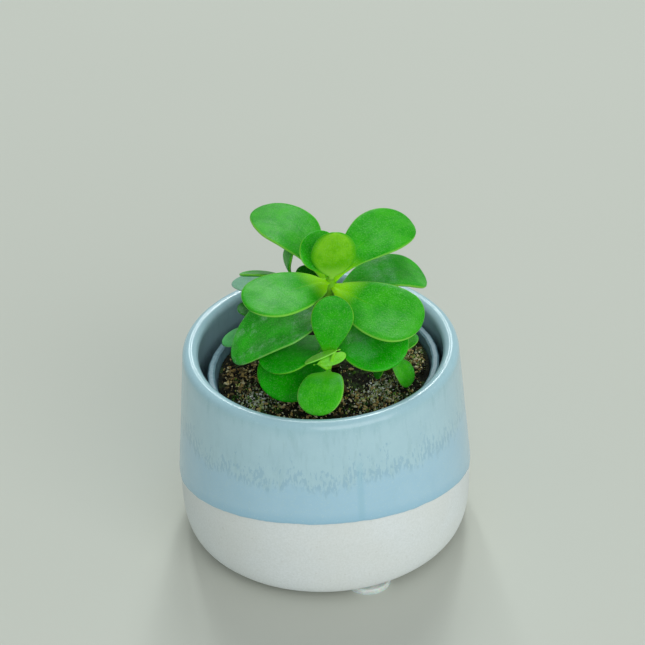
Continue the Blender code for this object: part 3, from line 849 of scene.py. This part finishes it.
def soil_material():
    shader = Shader("dark_peat")
    crumbs = shader.noise(0.8 * MM, 5.0, rough=0.75)
    patches = shader.noise(5 * MM, 3.0)
    colour = shader.mix(shader.ramp(crumbs, 0.38, 0.68), (0.0025, 0.003, 0.002), (0.022, 0.023, 0.012))
    pale = shader.ramp(shader.noise(0.5 * MM, 2.0), 0.62, 0.72, 0.0, 0.5)
    colour = shader.mix(pale, colour, (0.16, 0.16, 0.09))
    moss = shader.math("MULTIPLY", shader.ramp(patches, 0.50, 0.62), shader.ramp(crumbs, 0.40, 0.60))
    colour = shader.mix(shader.math("MULTIPLY", moss, 0.6), colour, (0.05, 0.12, 0.02))
    shader.set(Base_Color=colour)
    shader.set(Roughness=shader.ramp(crumbs, 0.3, 0.7, 0.80, 0.95))
    shader.set(Specular_IOR_Level=0.1)
    shader.set(Normal=shader.bump(crumbs, 0.8, 0.4 * MM))
    return shader.material


def pebble_shape():
    """Points and faces of a small rough pebble of radius 1."""
    bm = bmesh.new()
    bmesh.ops.create_icosphere(bm, subdivisions=2, radius=1.0)
    points = np.array([vert.co for vert in bm.verts])
    faces = np.array([[vert.index for vert in face.verts] for face in bm.faces])
    bm.free()
    return points, faces


def make_grains(name, top, kind, seed, material):
    """Loose pieces lying on the soil, each a pebble squeezed, turned and roughened its own way."""
    chance = random.Random(seed)
    shape, shape_faces = pebble_shape()
    points, faces, tones = [], [], []
    made = 0
    while made < kind.count:
        x_share, y_share, spread = chance.choice(kind.patches)
        share = Vector((chance.gauss(x_share, spread), chance.gauss(y_share, spread)))
        # Most bits in the bare patch are left out, so it reads dark: a hollow and painted shade.
        in_hollow_and_shade = (share - HOLLOW_AND_SHADE).length < HOLLOW_AND_SHADE_REACH
        if share.length > GRAINS_REACH or (in_hollow_and_shade and chance.random() < HOLLOW_AND_SHADE_MISSING):
            continue
        made += 1
        x, y = top.middle + share * top.radius
        size = kind.smallest + (kind.largest - kind.smallest) * chance.random() ** 3
        squeeze = np.array((1.0, chance.uniform(0.55, 1.0), chance.uniform(0.45, 0.9)))
        squeeze[0] *= 1 + kind.stretch * chance.random()
        tilt = math.pi / 2 if kind.upright else chance.gauss(0, 0.35)
        turn = Matrix.Rotation(chance.uniform(0, 2 * math.pi), 3, "Z")
        turn = turn @ Matrix.Rotation(tilt + chance.gauss(0, 0.3), 3, "Y")
        rough = [1 + 0.35 * unevenness(point * 0.9, 1.0, 10.0 * made) for point in shape]
        body = (shape * np.array(rough)[:, None] * squeeze * size) @ np.array(turn).T
        height = top.height(x, y) + size * (0.5 - kind.sink)
        faces.append(shape_faces + len(points) * len(shape))
        points.append(body + np.array((x, y, height)))
        tones += [chance.random()] * len(shape)
    faces = [tuple(face) for face in np.concatenate(faces).tolist()]
    return mesh_piece(name, np.concatenate(points), faces, material, {"tone": tones})


def grain_material(name, colours, roughness):
    """Colours picked by each grain's own tone, mottled within the grain."""
    shader = Shader(name)
    tone = shader.attribute("tone")
    ramp = shader.add("ValToRGB", {"Fac": tone})
    while len(ramp.color_ramp.elements) < len(colours):
        ramp.color_ramp.elements.new(0.5)
    for number, (element, colour) in enumerate(zip(ramp.color_ramp.elements, colours)):
        element.position = number / len(colours)
        element.color = (*colour, 1.0)
    ramp.color_ramp.interpolation = "CONSTANT"
    mottle = shader.noise(0.4 * MM, 3.0, rough=0.7)
    dark = shader.mix(0.5, ramp.outputs["Color"], (0.0, 0.0, 0.0))
    shader.set(Base_Color=shader.mix(shader.ramp(mottle, 0.35, 0.60), dark, ramp.outputs["Color"]))
    shader.set(Roughness=shader.ramp(mottle, 0.3, 0.7, roughness - 0.1, roughness + 0.1))
    shader.set(Specular_IOR_Level=0.15)
    shader.set(Normal=shader.bump(mottle, 0.6, 0.15 * MM))
    return shader.material


# --- carried-over CAD nodes -----------------------------------------------------------------------

def liner_material():
    shader = Shader("liner_plastic")
    scuff = shader.noise(1.8 * MM, 5.0, rough=0.75)
    fine = shader.noise(0.3 * MM, 2.0)
    colour = shader.mix(shader.ramp(scuff, 0.4, 0.7), (0.13, 0.25, 0.31), (0.21, 0.37, 0.43))
    dust = shader.ramp(shader.noise(0.9 * MM, 3.0), 0.60, 0.72, 0.0, 0.3)
    shader.set(Base_Color=shader.mix(dust, colour, (0.34, 0.44, 0.46)))
    shader.set(Roughness=shader.ramp(scuff, 0.3, 0.7, 0.28, 0.5))
    shader.set(Normal=shader.bump(fine, 0.2, 0.08 * MM))
    return shader.material


def pad_material():
    shader = Shader("clear_pad_rubber")
    cloud = shader.noise(2.5 * MM, 3.0)
    dust = shader.noise(0.4 * MM, 3.0, rough=0.7)
    colour = shader.mix(shader.ramp(cloud, 0.3, 0.7), (0.60, 0.66, 0.64), (0.74, 0.79, 0.77))
    dusty_and_sheen = shader.ramp(dust, 0.60, 0.75, 0.0, 0.4)
    shader.set(Base_Color=shader.mix(dusty_and_sheen, colour, (0.45, 0.46, 0.42)))
    shader.set(Roughness=shader.ramp(dust, 0.3, 0.7, 0.18, 0.35))
    shader.set(Subsurface_Weight=0.5, Subsurface_Scale=1.5 * MM)
    shader.set(Normal=shader.bump(cloud, 0.15, 0.2 * MM))
    return shader.material


def dress_cad_nodes():
    """Better materials on the CAD nodes whose shapes are already right."""
    pad = pad_material()
    for name, node in NODES.items():
        if name.startswith("foot_pad"):
            node.data.materials[0] = pad
        elif name == "nursery_liner":
            node.data.materials[0] = liner_material()


# --- stage ----------------------------------------------------------------------------------------

def make_floor():
    size = FLOOR_HALF_SIZE
    corners = [(-size, -size, 0.0), (size, -size, 0.0), (size, size, 0.0), (-size, size, 0.0)]
    mesh = bpy.data.meshes.new("floor")
    mesh.from_pydata(corners, [], [(0, 1, 2, 3)])
    shader = Shader("pale_floor")
    tint = shader.noise(0.25, 2.0)
    shader.set(Base_Color=shader.mix(tint, (0.54, 0.56, 0.50), (0.57, 0.59, 0.53)))
    shader.set(Roughness=0.85)
    mesh.materials.append(shader.material)
    floor = bpy.data.objects.new("floor", mesh)
    bpy.context.scene.collection.objects.link(floor)


def add_light(name, place, target, size, power, colour):
    data = bpy.data.lights.new(name, "AREA")
    data.shape = "RECTANGLE"
    data.size, data.size_y = size
    data.energy = power
    data.color = colour
    light = bpy.data.objects.new(name, data)
    light.location = place
    light.rotation_euler = (Vector(target) - Vector(place)).to_track_quat("-Z", "Y").to_euler()
    bpy.context.scene.collection.objects.link(light)


def make_lights():
    """A tall window behind, in two panes, light from above and soft light from the room in front."""
    middle = (0.0, 0.0, 0.05)
    for side in (-1, 1):
        place = (WINDOW_PLACE.x + side * WINDOW_GAP, WINDOW_PLACE.y, WINDOW_PLACE.z)
        add_light("window_pane", place, middle, WINDOW_PANE, WINDOW_POWER, (0.94, 1.0, 1.0))
    add_light("high_window", (0.25, 1.5, 1.75), middle, (0.6, 0.45), 8.0, (0.95, 1.0, 1.0))
    add_light("front_fill", (0.65, -1.4, 0.75), middle, (1.9, 1.5), 17.0, (1.0, 1.0, 1.0))
    world = bpy.data.worlds.new("soft_room")
    world.use_nodes = True
    background = world.node_tree.nodes["Background"]
    background.inputs["Color"].default_value = (*ROOM_COLOUR, 1.0)
    background.inputs["Strength"].default_value = ROOM_STRENGTH
    bpy.context.scene.world = world


def make_camera():
    """The camera looks down at the plant from the front, rolled so the plant leans a little."""
    data = bpy.data.cameras.new("camera")
    data.sensor_width = CAMERA_SENSOR
    data.lens = CAMERA_LENS
    camera = bpy.data.objects.new("camera", data)
    back = Vector((0.0, -math.cos(CAMERA_PITCH), math.sin(CAMERA_PITCH)))
    place = CAMERA_TARGET + CAMERA_DISTANCE * back
    aim = (CAMERA_TARGET - place).to_track_quat("-Z", "Y").to_matrix().to_4x4()
    camera.matrix_world = Matrix.Translation(place) @ aim @ Matrix.Rotation(CAMERA_ROLL, 4, "Z")
    bpy.context.scene.collection.objects.link(camera)
    bpy.context.scene.camera = camera


def make_plant():
    materials = {name: leaf_material(name, look) for name, look in LOOKS.items()}
    bark = stem_material()
    for name in sorted(NODES):
        if "_leaf_" in name:
            make_leaf(name, materials)
        elif name.endswith("_stem"):
            make_stem(name, bark)


def make_potting_mix():
    top = SoilTop()
    make_soil(top)
    brown = grain_material("soil_brown", BROWN_COLOURS, 0.8)
    make_grains("soil_crumbs", top, CRUMBS, 11, brown)
    green = grain_material("soil_green", GREEN_COLOURS, 0.75)
    make_grains("soil_moss", top, MOSS, 23, green)
    white = grain_material("soil_white", WHITE_COLOURS, 0.7)
    make_grains("soil_grit", top, GRIT, 37, white)


bpy.context.scene.view_settings.view_transform = "Standard"
make_floor()
make_lights()
make_camera()
dress_cad_nodes()
make_pot()
make_potting_mix()
make_plant()
